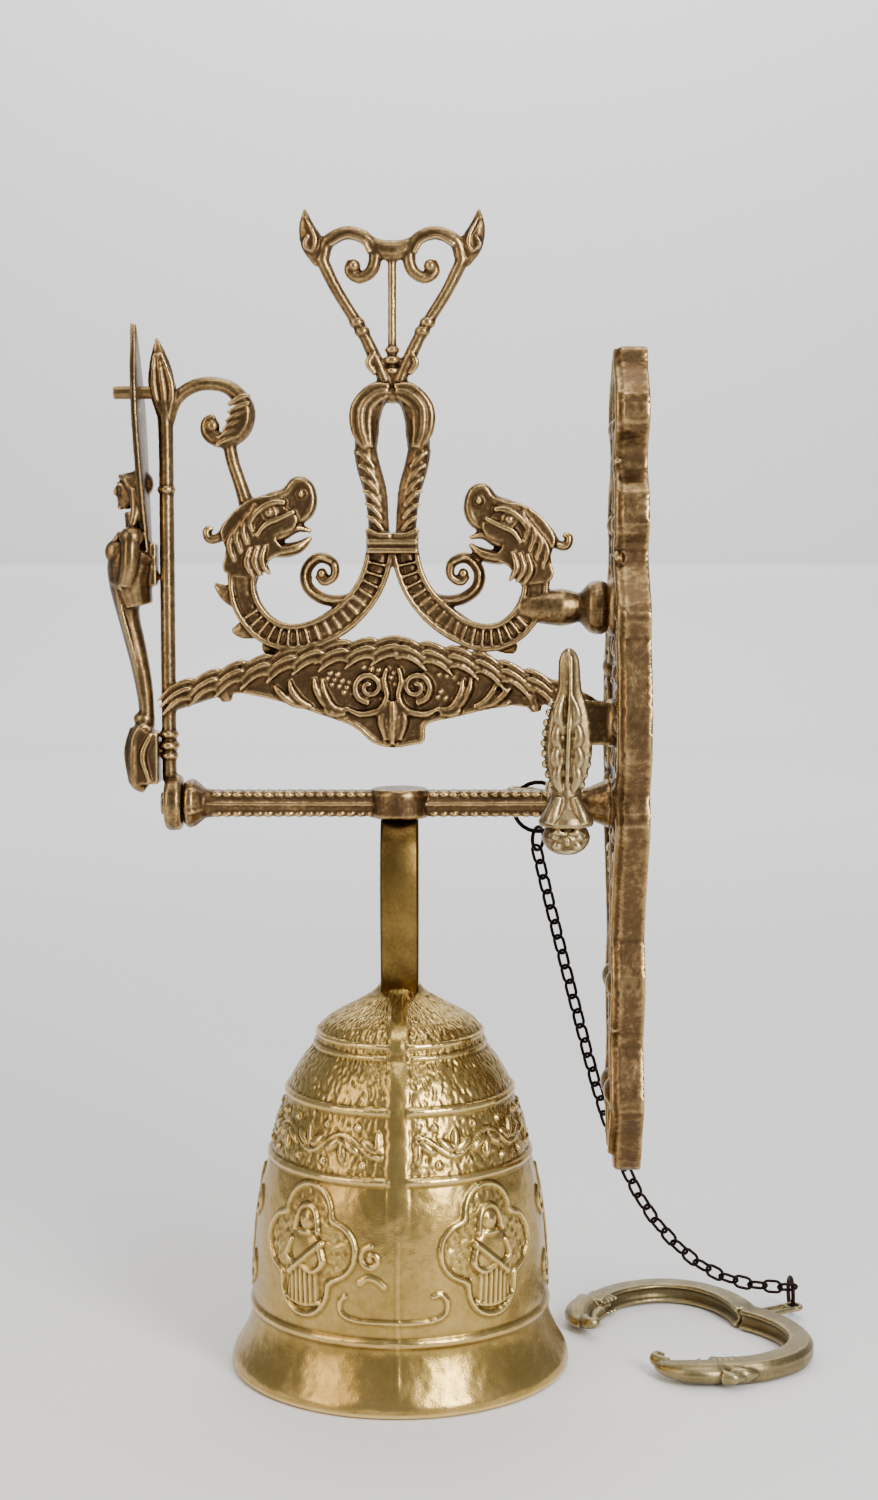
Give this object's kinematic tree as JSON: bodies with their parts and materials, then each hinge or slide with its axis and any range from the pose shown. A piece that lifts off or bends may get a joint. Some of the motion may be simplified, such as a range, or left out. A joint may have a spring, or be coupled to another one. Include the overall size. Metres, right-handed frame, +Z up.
{
  "type": "sanctus bell",
  "caption": "Brass bell hung in an openwork scrolled wall bracket, rung by a lever with a hanging chain and a curved pull handle.",
  "frame": {"origin": "on the flat back face of the wall plate, at the height of the swing axis", "axes": "+X into the wall, -X along the bracket arm, +Y away from the side the lever's leaf is on, +Z up"},
  "size_m": [0.3239, 0.1584, 0.5145],
  "materials": {
    "aged_brass": "aged cast brass with brown patina",
    "bell_brass": "rubbed bright cast brass",
    "olive_brass": "dull olive-brown cast brass",
    "dark_iron": "blackened iron"
  },
  "bodies": {
    "bracket": {"wall_plate": "aged_brass", "bracket_arm": "aged_brass", "arm_screw_upper": "aged_brass", "arm_screw_lower": "aged_brass", "end_figure": "aged_brass", "figure_peg": "aged_brass", "figure_rivet": "aged_brass", "pivot_pin_outer": "aged_brass", "pivot_pin_wall": "aged_brass"},
    "swing": {"swing_bar": "aged_brass", "pull_lever": "aged_brass", "lever_rivet": "aged_brass", "bell": "bell_brass", "hanger_bolt": "aged_brass", "hanger_washer": "aged_brass", "clapper_eye": "dark_iron"},
    "clapper": {"clapper_rod": "dark_iron", "clapper_ball": "dark_iron"},
    "chain": {"lever_ring": "dark_iron", "chain_ring": "dark_iron", "link_01": "dark_iron", "link_02": "dark_iron", "link_03": "dark_iron", "link_04": "dark_iron", "link_05": "dark_iron", "link_06": "dark_iron", "link_07": "dark_iron", "link_08": "dark_iron", "link_09": "dark_iron", "link_10": "dark_iron", "link_11": "dark_iron", "link_12": "dark_iron", "link_13": "dark_iron", "link_14": "dark_iron", "link_15": "dark_iron", "link_16": "dark_iron", "link_17": "dark_iron", "link_18": "dark_iron", "link_19": "dark_iron", "link_20": "dark_iron", "link_21": "dark_iron", "link_22": "dark_iron", "link_23": "dark_iron", "link_24": "dark_iron", "link_25": "dark_iron", "link_26": "dark_iron", "link_27": "dark_iron", "link_28": "dark_iron", "link_29": "dark_iron", "link_30": "dark_iron", "link_31": "dark_iron", "link_32": "dark_iron", "link_33": "dark_iron", "link_34": "dark_iron", "link_35": "dark_iron", "link_36": "dark_iron", "link_37": "dark_iron", "pull_ring": "dark_iron"},
    "pull": {"pull_handle": "olive_brass"}
  },
  "joints": [
    {"name": "bell_swing", "type": "hinge", "parent": "bracket", "child": "swing", "pos_m": [-0.109, 0, 0], "axis": [1, 0, 0], "range_deg": [-20, 20]},
    {"name": "clapper_swing", "type": "hinge", "parent": "swing", "child": "clapper", "pos_m": [-0.109, 0, -0.104], "axis": [1, 0, 0], "range_deg": [-22, 22]},
    {"name": "chain_hang", "type": "hinge", "parent": "swing", "child": "chain", "pos_m": [-0.0453, 0.038, 0.0035], "axis": [1, 0, 0], "range_deg": [-20, 20]},
    {"name": "pull_swivel", "type": "hinge", "parent": "chain", "child": "pull", "pos_m": [0.0789, 0.051, -0.249], "axis": [0, 0, 1], "range_deg": [-25, 25]}
  ],
  "couplings": [
    {"joint": "chain_hang", "follows": "bell_swing", "ratio": -1}
  ]
}
